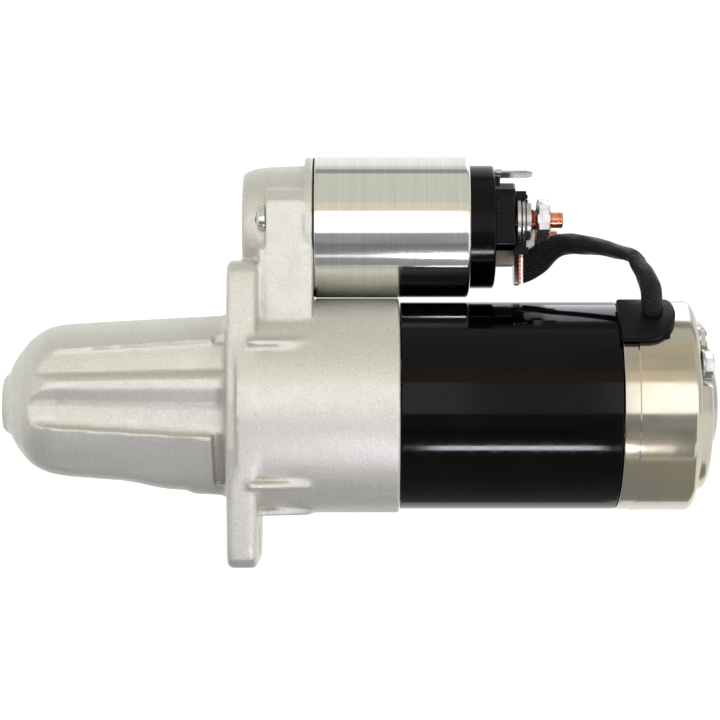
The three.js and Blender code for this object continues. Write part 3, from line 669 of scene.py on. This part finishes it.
def drive_end_housing():
    f = Field(HOUSING_LOW, HOUSING_HIGH)
    barrel_corners = [(4, 0, 0), (4, BARREL_R, 0), (BARREL_END, BARREL_R, 0.5), (BARREL_END, 0, 0)]
    metal = blend(nose_field(f), flange_field(f), 4.0)
    metal = blend(metal, f.revolved(filleted(barrel_corners, 3)), 2.6)
    metal = blend(metal, gusset_field(f), 2.0)
    metal = blend(metal, bracket_field(f), 1.2)
    metal = carve(metal, cavity_field(f), 0.5)
    window = f.block((-60, 9, -23), (-24, 50, 23), 6)
    metal = carve(metal, window, 1.5)
    plunger_bore = f.rod_x(8, 40, 12, SOLENOID_AXIS)
    metal = carve(metal, plunger_bore, 0.5)
    lever_slot = f.block((8, -9.5, 18), (30.5, 9.5, 72), 1)
    metal = carve(metal, lever_slot, 0.5)
    notch = f.block((-4.9, -40, 22), (-0.6, -20, 27), 0.4)
    metal = carve(metal, notch, 0.5)
    for back, hole_z in ((22, 44.3), (FLANGE_T + 2, -48)):
        metal = carve(metal, f.rod_x(-2, back, 5, (0, hole_z)), 0.6)
    for place in BOLT_PLACES:
        metal = carve(metal, f.rod_x(46, 70, 2.65, place), 0.3)
    housing = make("drive_end_housing_cast", [f.shape(metal)], CAST, node="drive_end_housing", sharp=180)
    thin = housing.modifiers.new("thin", "DECIMATE")
    thin.ratio = 0.45


# ---- Outer shells ----
def yoke():
    wall = 3
    outer = YOKE_HIGH.y
    shell = tube(YOKE_LOW.x, YOKE_HIGH.x, outer - wall, outer, 0.5, 192)
    make("yoke_tube", [shell], BLACK, node="yoke")


def rear_cover():
    """Drawn steel cap: a lip over the yoke, a deep body, a raised island and a bearing boss."""
    start, end, face = COVER_LOW.x, COVER_HIGH.x, COVER_FACE
    island = end - 3.7
    r = COVER_HIGH.y
    inner = r - 2.8
    corners = [
        (start, inner, 0.3), (start, r - 0.35, 0.6), (start + 5.2, r - 0.35, 0.3), (start + 5.7, r, 0.3),
        (face, r, 7.2), (face, 31.4, 1.6), (island, 29.6, 3.2), (island, 15.6, 1.5), (end, 13.6, 2.4),
        (end, 3, 0.5), (170, 3, 0.3), (170, 11.3, 0.3), (156.5, 11.3, 0.3), (156.5, 13.6, 0.3),
        (166.6, 13.6, 0.5), (166.6, 26.6, 2), (162, 28, 1), (162, inner, 3),
    ]
    cover = make("rear_cover_shell", [lathe(filleted(corners, 6), 192)], COVER_ZINC, node="rear_cover")
    for y, z in BOLT_PLACES:
        cut_away(cover, disc([(face, 8.2), (face + 9, 9.6)], 64, (y * 1.07, z * 1.07)))
        cut_away(cover, disc([(160, 2.6), (face + 1, 2.6)], 32, (y, z)))
    for y, z in BRUSH_SCREW_PLACES:
        cut_away(cover, disc([(face, 5.4), (face + 9, 6.4)], 48, (y * 1.03, z * 1.03)))
        cut_away(cover, disc([(160, 2.2), (face + 1, 2.2)], 32, (y, z)))
    grommet_slot = prism([(30, -6.4), (48, -6.4), (48, 11), (30, 11)], start - 2, 154.4)
    cut_away(cover, spun(grommet_slot, GROMMET_ANGLE))


def cut_away(obj, shape):
    """Takes a shape out of an object for good."""
    tool = new_object("tool", [shape])
    face_outwards(tool.data)
    cut = obj.modifiers.new("cut", "BOOLEAN")
    cut.operation = "DIFFERENCE"
    cut.solver = "EXACT"
    cut.object = tool
    bpy.context.view_layer.update()
    result = bpy.data.meshes.new_from_object(obj.evaluated_get(bpy.context.evaluated_depsgraph_get()))
    obj.modifiers.remove(cut)
    obj.data = result
    smooth(result, SHARP)
    bpy.data.objects.remove(tool)


def grommet():
    """Rubber seal: a square pad towards the yoke and a round end, wrapped on the cover round the lead."""
    left, right = 137, 157
    outer, under, wrap = 41.2, 38.1, 38.0
    half, top = 12.9, 7.4
    round_end = half * 0.8
    centre = right - round_end
    outline = [(left, -top), (left, half)]
    for at in np.linspace(TURN / 4, -TURN / 8, 25):
        outline.append((centre + round_end * math.cos(at), max(-top, half * math.sin(at))))
    outline.append((centre, -top))
    rings = []
    for radius, inset in ((under, 0), (outer - 1.2, 0), (outer - 0.4, 0.35), (outer, 1.1), (outer - 0.4, 7)):
        shrink = (half - inset) / half
        rings.append([(centre - (centre - x) * shrink, radius, s * shrink / wrap) for x, s in outline])
    pad = moved(skin(rings, closed=False), lambda v: (v[0], v[1] * math.cos(v[2]), v[1] * math.sin(v[2])))
    plug = block((COVER_LOW.x + 0.3, 34.4, -6.1), (154, 38.4, 10.6))
    seal = [spun(shape, GROMMET_ANGLE) for shape in (pad, plug)]
    make("grommet_seal", seal, RUBBER, node="grommet", sharp=50)


# ---- Solenoid ----
def solenoid_case():
    r = CASE_HIGH.z - SOLENOID_Z
    front, back = CASE_LOW.x, CASE_HIGH.x
    corners = [
        (front, 10.4, 0.3), (front, r, 0.5), (back, r, 2.6), (back, 22.6, 0.4), (84.4, 22.6, 0.2),
        (84.4, 23.5, 0.2), (34.4, 23.5, 0.2), (34.4, 10.4, 0.2),
    ]
    shell = lathe(filleted(corners, 6), 192, SOLENOID_AXIS)
    make("solenoid_shell", [shell], ZINC, node="solenoid_case")


def solenoid_gasket():
    gasket = tube(30.02, 30.38, 12.4, 24.9, 0.05, 128, SOLENOID_AXIS)
    make("gasket_ring", [gasket], RUBBER, node="solenoid_gasket")


def solenoid_screw(k, place):
    """Pan-headed flange screw with a round socket in its head."""
    head = [
        (13.3, 2.2, 0), (13.3, 5.2, 0.3), (12.5, 5.2, 0.5), (10.9, 4.6, 1.2), (10.1, 3.0, 0.6),
        (10.1, 2.3, 0.1), (12.2, 2.1, 0.1),
    ]
    body = lathe(filleted(head, 4) + [(29.6, 2.1), (29.6, 1.9), (12.4, 1.9)], 64, place)
    core = disc([(12.1, 2.4), (29.4, 2.15)], 32, place)
    make(f"solenoid_screw_{k}_body", [body, core], ZINC, node=f"solenoid_screw_{k}")


def terminal_cap():
    """Moulded cap: a round base, a tower round the terminals, a rib between them and a resin heel."""
    z = SOLENOID_Z
    base = lathe([
        (93.8, 4), (93.8, 19), (80.4, 19), (80.4, 22.9), (80.6, 23.1), (83.8, 23.1), (84, 22.9), (84, 22.1),
        (93.7, 22.1), (94.3, 21.8), (94.6, 21.2), (94.6, 4),
    ], 160, SOLENOID_AXIS)
    lip = bevelled_prism([
        (-19, z + 3.5, 0.5), (19, z + 3.5, 0.5), (19, z + 9, 2), (12, z + 18, 4), (-12, z + 18, 4),
        (-19, z + 9, 2),
    ], CAP_BACK, 96.2, 0.5)
    tower = bevelled_prism([
        (-18.4, z - 7, 1.5), (-15.4, z - 9.1, 1.5), (15.4, z - 9.1, 1.5), (18.4, z - 7, 1.5),
        (18.4, z + 12, 2), (13, z + 14.9, 2.5), (-13, z + 14.9, 2.5), (-18.4, z + 12, 2),
    ], CAP_BACK, CAP_END, 0.7, pocket=4.4)
    wall = bevelled_prism([
        (-1.3, z - 8, 0.4), (1.3, z - 8, 0.4), (1.3, z + 13, 0.4), (-1.3, z + 13, 0.4),
    ], 101, 106.4, 0.4, steps=3)
    ledge = block((101.4, -16, z + 9.2), (105.8, -1, z + 10.6))
    shelf = block((101.2, -15.5, z - 10.6), (106, -4.5, z - 7.9))
    make("terminal_cap_body", [base, lip, tower, wall, ledge, shelf], PLASTIC, node="terminal_cap")
    heel = bevelled_prism([
        (-9, z - 14.2, 1), (4, z - 14.2, 1), (4, z - 7, 0.5), (-9, z - 7, 0.5),
    ], 94.2, 101.6, 0.9)
    make("terminal_cap_heel", [heel], RESIN, node="terminal_cap")


def bevelled_prism(corners, x0, x1, edge, pocket=0.0, steps=4):
    """A prism along X of rounded corners whose far edge is rounded too.

    A pocket makes it hollow at the near end, to that depth."""
    outline = filleted(corners, steps)
    cy = sum(p[0] for p in outline) / len(outline)
    cz = sum(p[1] for p in outline) / len(outline)
    size = max(math.hypot(y - cy, z - cz) for y, z in outline)

    def section(x, scale):
        return [(x, cy + (y - cy) * scale, cz + (z - cz) * scale) for y, z in outline]

    rings = [section(x0 + pocket, 0.85), section(x0, 0.85)] if pocket else []
    rings.append(section(x0, 1))
    arcs = 3
    for k in range(arcs + 1):
        at = math.pi / 2 * k / arcs
        rings.append(section(x1 - edge + edge * math.sin(at), 1 - edge * (1 - math.cos(at)) / size))
    return skin(rings, closed=False)


def stud(name, place):
    """Threaded stud with a square head inside the cap and a plain, smaller end."""
    y, z = place
    tip = cad_box(name)[1].x
    half_head, end_r = 4, 2.9
    head = block((93.8, y - half_head, z - half_head), (98.1, y + half_head, z + half_head))
    rod = threaded(98, 114.2, STUD_R, 1.25, place, start=3.0)
    end_corners = filleted([(112, end_r, 0), (tip, end_r, 0.7), (tip, 0.1, 0), (112, 0.1, 0)], 4)
    end = disc(end_corners[:-1], 48, place)
    make(f"{name}_thread", [head, rod, end], COPPER, node=name, sharp=50)


def battery_washers():
    """Two flat washers and a split spring washer on the stud."""
    gap_at, half_gap = 3.9, 0.07  # where the spring washer is split, in radians

    def split(_, radius, at):
        return radius if abs(at - gap_at) > half_gap else min(radius, 4.6)

    first = tube(102.1, 103.4, STUD_HOLE, 8, 0.2, 96, BATTERY_STUD)
    second = tube(103.8, 104.8, STUD_HOLE, 7.7, 0.15, 96, BATTERY_STUD)
    corners = [(105.2, STUD_HOLE, 0.1), (105.2, 7.2, 0.2), (107, 7.2, 0.2), (107, STUD_HOLE, 0.1)]
    spring = lathe(filleted(corners, 3), 160, BATTERY_STUD, split)
    make("battery_washer_stack", [first, second, spring], PLATED, node="battery_washers")


def battery_nut():
    low, high = cad_box("battery_nut")
    body = nut(low.x, high.x, NUT_FLATS, NUT_HOLE, BATTERY_STUD)
    make("battery_nut_body", [body], PLATED, node="battery_nut")


def motor_nut():
    low, high = cad_box("motor_nut")
    washer = tube(low.x, low.x + 1.5, STUD_HOLE, 7.6, 0.2, 96, MOTOR_STUD)
    lock = nut(low.x + 1.55, high.x, NUT_FLATS, NUT_HOLE, MOTOR_STUD)
    make("motor_nut_body", [washer, lock], PLATED, node="motor_nut")


def spade_terminal():
    """Flat blade with a tapered end, tilted about X on its heel."""
    low, high = cad_box("spade_terminal")
    place = middle("spade_terminal")
    half_width, half_end, half_thickness, taper_x = 3.15, 1.7, 0.4, 106.8
    flat = filleted([
        (low.x, -half_width, 0), (taper_x, -half_width, 0.8), (high.x, -half_end, 0.5),
        (high.x, half_end, 0.5), (taper_x, half_width, 0.8), (low.x, half_width, 0),
    ], 3)
    blade = skin([[(x, y, z) for x, y in flat] for z in (-half_thickness, half_thickness)], closed=False)
    heel = block((low.x, -3.6, -0.8), (low.x + 2.2, 3.6, 0.8))
    tilted = [spun(shape, math.radians(-14)) for shape in (blade, heel)]
    placed = [moved(shape, lambda v: (v[0], v[1] + place.y, v[2] + place.z)) for shape in tilted]
    make("spade_terminal_blade", placed, STEEL, node="spade_terminal", bevel=0.12)


# ---- Motor lead ----
def smooth_route(points, per_span):
    """A Catmull-Rom curve through the points."""
    pts = [Vector(p) for p in points]
    ends = [2 * pts[0] - pts[1], *pts, 2 * pts[-1] - pts[-2]]
    out = []
    for i in range(1, len(ends) - 2):
        p0, p1, p2, p3 = ends[i - 1: i + 3]
        for k in range(per_span):
            t = k / per_span
            out.append(0.5 * (2 * p1 + (p2 - p0) * t + (2 * p0 - 5 * p1 + 4 * p2 - p3) * t * t
                              + (3 * p1 - p0 - 3 * p2 + p3) * t ** 3))
    return [*out, ends[-2]]


def motor_lead():
    """Braided lead in a woven sleeve, broad where it leaves its terminal and creased at its sharpest bend."""
    line = smooth_route(LEAD_ROUTE, 12)
    around = 40
    straight = 7  # length over which the lead turns from its terminal's direction to its own
    rings, uvs = [], []
    side = Vector((0, -1, 0))
    length = 0.0
    for i, here in enumerate(line):
        ahead = (line[min(i + 1, len(line) - 1)] - line[max(i - 1, 0)]).normalized()
        length += (here - line[i - 1]).length if i else 0
        ahead = ahead.lerp(Vector((1, 0, 0)), max(0.0, 1 - length / straight)).normalized()
        side = (side - ahead * side.dot(ahead)).normalized()
        up = side.cross(ahead).normalized()
        tall = float(np.interp(length, *zip(*LEAD_GIRTHS))) / 2
        wide = min(3.75, 14 / tall)
        points = []
        for j in range(around):
            at = TURN * j / around
            ripple = 1 + 0.022 * math.sin(5 * at + length * 0.55) + 0.014 * math.sin(3 * at - length * 0.8)
            points.append(here + (side * (wide * math.cos(at)) + up * (tall * math.sin(at))) * ripple)
            uvs.append((length / 1.2, 24 * j / around))
        rings.append([tuple(p) for p in points])
    make("motor_lead_braid", [skin(rings, closed=False)], BRAID, node="motor_lead", sharp=60, uvs=uvs)


def lead_terminal():
    """Plate round the motor stud with a tongue below, and the lead's bare strands laid on the tongue."""
    y, z = MOTOR_STUD
    low, high = cad_box("lead_terminal")

    def arc(radius, angles):
        return [(y + radius * math.cos(a), z + radius * math.sin(a)) for a in angles]

    tongue = [(y - 7.6, z - 3, 2), (y - 12.5, low.z, 0.8), (y - 2, low.z, 0.8), (y + 7.2, z - 3, 2)]
    outline = arc(8, np.linspace(-0.4, math.pi + 0.4, 28)) + filleted(tongue, 3)[4:-4]
    flat = prism(outline, low.x, high.x)
    plate = make("lead_terminal_plate", [flat], PLATED, node="lead_terminal", bevel=0.15)
    hole = arc(4.2, np.linspace(0, TURN, 28, endpoint=False))
    cut_away(plate, prism(hole, low.x - 1, high.x + 1))
    strand = disc([(y - 13, 0.4), (y - 2, 0.4)], 10)
    strands = []
    for k in range(19):
        x = high.x + 0.42 + 0.15 * math.sin(2.3 * k)
        up = low.z + 0.6 + 0.55 * k
        strands.append(moved(strand, lambda v: (x + v[2], v[0], up + v[1])))
    make("lead_strands", strands, COPPER, node="lead_terminal")


# ---- Fasteners on the rear cover ----
def through_bolt(k, place):
    """Hexagon flange head and a long shank."""
    flats = 8
    seat = HEAD_SEAT
    head = lathe([
        (seat, 2.3), (seat, 5.1), (seat + 0.25, 5.4), (seat + 0.9, 5.3), (seat + 1.3, 4.3),
        (seat + 1.31, flats), (169.1, flats), (169.55, 3.75), (169.6, 3.4), (169.2, 2.2),
    ], 72, place, hexagonal(flats, 5.5))
    shank = disc([(48, 2.3), (169.2, 2.3)], 32, place)
    make(f"through_bolt_{k}_body", [head, shank], PLATED, node=f"through_bolt_{k}")


def brush_screw(k, place):
    """Round head with a recess, on a short shank."""
    end = 150
    head = [
        (HEAD_SEAT, 1.9, 0), (HEAD_SEAT, 4.2, 0.2), (166.4, 4.2, 0.6), (168.2, 2.7, 1.4), (168.2, 1.5, 0.2),
        (167.2, 1.4, 0),
    ]
    body = lathe(filleted(head, 4) + [(167.2, 1.2), (end, 1.2), (end, 1.9)], 56, place)
    core = disc([(end, 1.7), (167.0, 1.7)], 24, place)
    make(f"brush_screw_{k}_body", [body, core], PLATED, node=f"brush_screw_{k}")


# ---- Drive parts seen through the window ----
def pinion():
    """Ten chamfered teeth and a hub, bored for the shaft."""
    low, high = cad_box("pinion_gear")
    bore, teeth_end = 6.45, -20
    outline = [Vector(p) for p in gear_outline(10, 2.54, 15, 9.7, 0.1)]
    rings = []
    for x, limit in ((low.x, 13.2), (low.x + 1.8, 15.2), (teeth_end - 0.4, 15.2), (teeth_end, 14.6)):
        rings.append([(x, *(p * min(1, limit / p.length))) for p in outline])
    rings += [[(x, *(p.normalized() * bore)) for p in outline] for x in (teeth_end, low.x)]
    hub_corners = [
        (-21, bore, 0), (-21, 9, 0), (-19.6, 11.2, 0.5), (-18.6, 10.2, 0.3), (high.x, 10.2, 0.3),
        (high.x, bore, 0),
    ]
    shapes = [skin(rings, closed=True), lathe(filleted(hub_corners, 4), 64)]
    make("pinion_teeth", shapes, STEEL, body="pinion", node="pinion_gear", sharp=30)


def stop_collar():
    low, high = cad_box("stop_collar")
    bore = 6.25
    corners = [
        (low.x, bore, 0.2), (low.x, 9, 0.3), (low.x + 1.2, 10, 0.3), (high.x, 10, 0.4), (high.x, bore, 0.2),
    ]
    collar = lathe(filleted(corners, 4), 72)
    make("stop_collar_ring", [collar], STEEL, body="output", node="stop_collar")


def clutch_outer():
    """Shell with an inner groove for the rollers."""
    corners = [
        (-12, 10.6, 0.3), (-12, 19, 0.4), (-10.6, 20, 0.8), (9.6, 20, 0.8), (9.6, 11, 0.3), (7, 11, 0.2),
        (7, 15.2, 0.2), (-9.4, 15.2, 0.2), (-9.4, 10.6, 0.2),
    ]
    shell = lathe(filleted(corners, 4), 128)
    make("clutch_shell", [shell], DARK_STEEL, body="drive", node="clutch_outer")


drive_end_housing()
yoke()
rear_cover()
grommet()
solenoid_case()
solenoid_gasket()
terminal_cap()
stud("battery_stud", BATTERY_STUD)
stud("motor_stud", MOTOR_STUD)
battery_washers()
battery_nut()
motor_nut()
spade_terminal()
motor_lead()
lead_terminal()
pinion()
stop_collar()
clutch_outer()
for number in (1, 2):
    solenoid_screw(number, SCREW_PLACES[number - 1])
    through_bolt(number, BOLT_PLACES[number - 1])
    brush_screw(number, BRUSH_SCREW_PLACES[number - 1])

for obj in MADE:
    weighted = obj.modifiers.new("weighted", "WEIGHTED_NORMAL")
    weighted.keep_sharp = True

# ---- Finishes of the CAD pieces that stay ----
PLANETS = [f"planet_gear_{k}" for k in (1, 2, 3)]
BRUSHES = [f"brush_{k}" for k in (1, 2, 3, 4)]
BRUSH_SPRINGS = [f"brush_spring_{k}" for k in (1, 2, 3, 4)]
CAD_FINISHES = {
    STEEL: ["output_shaft", "clutch_roller_cage", "drive_sleeve", "lever_pin", *PLANETS, "armature_shaft",
            "rear_bearing", *BRUSH_SPRINGS, "fixed_core", "plunger", "return_spring", "contact_rod",
            "contact_spring"],
    DARK_STEEL: ["centre_bearing_plate", "gearbox_plate", "armature_core"],
    COPPER: ["commutator", "contact_disc"],
    WINDING: ["armature_windings", "solenoid_coil"],
    BRONZE: ["nose_bush", "centre_bush", "brush_plate"],
    FERRITE: ["field_magnets"],
    NYLON: ["shift_lever", "ring_gear", "coil_bobbin"],
    CARBON: BRUSHES,
}
for finish, nodes in CAD_FINISHES.items():
    for name in nodes:
        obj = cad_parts[name]
        obj.data.materials.clear()
        obj.data.materials.append(finish)


# ---- Studio ----
def studio_finish(name, colour, glow, mottle=0.0, streak=8):
    """Paper or cloth that glows evenly, or in soft upright blotches."""
    f = Finish(name, 0.0, 0.9)
    f.bsdf.inputs["Base Color"].default_value = (0.2, 0.2, 0.2, 1)
    f.bsdf.inputs["Specular IOR Level"].default_value = 0.0
    f.bsdf.inputs["Emission Color"].default_value = colour
    f.bsdf.inputs["Emission Strength"].default_value = glow
    if mottle:
        cloud = f.noise(4, 3, stretch=(streak, 1, 1))
        blotches = f.ranged(cloud, 0.35, 0.65, glow * (1 - mottle), glow * (1 + mottle))
        f.link(blotches, f.bsdf.inputs["Emission Strength"])
    return f.material


def sheet(name, edges, material, seen=True):
    """A smooth sheet of the studio through pairs of points, one pair for each of its cross lines."""
    vertices = [point for pair in edges for point in pair]
    faces = [(2 * i, 2 * i + 1, 2 * i + 3, 2 * i + 2) for i in range(len(edges) - 1)]
    obj = new_object(name, [(vertices, faces)])
    obj.data.materials.append(material)
    obj.data.shade_smooth()
    obj.visible_camera = seen


def sweep():
    """Floor that curves up into a back wall."""
    floor_z, bend_y, bend = -400, 500, 700
    profile = [(-2600, floor_z), (bend_y, floor_z)]
    for at in np.linspace(0.1, TURN / 4, 12):
        profile.append((bend_y + bend * math.sin(at), floor_z + bend * (1 - math.cos(at))))
    profile.append((bend_y + bend, 2600))
    edges = [[(x, y, z) for x in (-4000, 4000)] for y, z in profile]
    sheet("sweep", edges, studio_finish("paper", (1, 1, 0.99, 1), 0.93))


def reflector(name, low, high, colour, glow, mottle=0.0, streak=8, reach=1100, left=-1250, right=1350):
    """A card that stands between two heights, in degrees above the horizon, in front of the motor."""
    steps, centre_z = 8, 30
    edges = []
    for k in range(steps + 1):
        at = math.radians(low + (high - low) * k / steps)
        y, z = -reach * math.cos(at), centre_z + reach * math.sin(at)
        edges.append([(left, y, z), (right, y, z)])
    sheet(name, edges, studio_finish(name, colour, glow, mottle, streak), seen=False)


def camera():
    data = bpy.data.cameras.new("camera")
    data.sensor_width = 36
    data.lens = 115
    data.clip_start = 0.01
    obj = bpy.data.objects.new("camera", data)
    obj.location = (0.0466, -0.828, 0.0163)
    obj.rotation_euler = (math.pi / 2, 0, 0)
    bpy.context.collection.objects.link(obj)
    bpy.context.scene.camera = obj


sweep()
reflector("softbox_left", -10, 24, (1, 1, 1, 1), 1.75, right=134)
reflector("softbox_middle", -10, 24, (1, 0.86, 0.84, 1), 0.9, left=134, right=250)
reflector("softbox_right", -10, 24, (1, 1, 1, 1), 2.0, left=250)
reflector("warm_edge", 24, 37, (1, 0.82, 0.62, 1), 0.75)
reflector("upper_card", 37, 92, (1, 1, 0.86, 1), 0.55, right=230)
reflector("golden_card", 37, 72, (1, 0.88, 0.66, 1), 0.5, mottle=0.35, left=230, right=420)
reflector("upper_card_end", 72, 92, (1, 1, 0.86, 1), 0.55, left=230, right=420)
reflector("upper_card_right", 37, 92, (1, 1, 0.86, 1), 0.55, left=420)
reflector("overhead_seam", 93, 104, (1, 1, 0.85, 1), 0.15)
reflector("lower_mottle", -27, -10, (0.85, 0.92, 1, 1), 0.22, mottle=0.6, streak=30, reach=900, right=225)
reflector("lower_dark", -45.5, -25.5, (1, 0.92, 0.95, 1), 0.05, reach=560, right=183)
reflector("cover_mottle", -58, -11, (0.9, 0.92, 1, 1), 0.24, mottle=0.95, reach=480, left=175, right=250)
reflector("lower_right", -43, -10, (0.9, 0.92, 1, 1), 0.2, reach=500, left=250, right=420)
reflector("lamp_strip_left", -49.5, -45, (0.92, 0.9, 1, 1), 1.0, reach=520, right=80)
reflector("lamp_strip_right", -49.5, -45, (0.9, 0.86, 1, 1), 45.0, reach=520, left=84, right=185)
reflector("strip_skirt", -55, -49.5, (0.95, 0.95, 1, 1), 0.16, reach=520, right=172)
reflector("under_card", -128, -50.5, (0.95, 0.95, 1, 1), 0.16, reach=380, right=172)
reflector("under_card_end", -122, -59, (1, 0.98, 0.88, 1), 0.15, reach=380, left=172, right=420)
reflector("back_softbox", 106, 150, (0.92, 0.94, 1, 1), 3.5, reach=600, left=160, right=330)
world = bpy.data.worlds.new("studio")
world.use_nodes = True
backdrop = world.node_tree.nodes["Background"]
backdrop.inputs["Color"].default_value = (1, 1, 0.97, 1)
backdrop.inputs["Strength"].default_value = 0.85
bpy.context.scene.world = world
bpy.context.scene.view_settings.view_transform = "Standard"
camera()
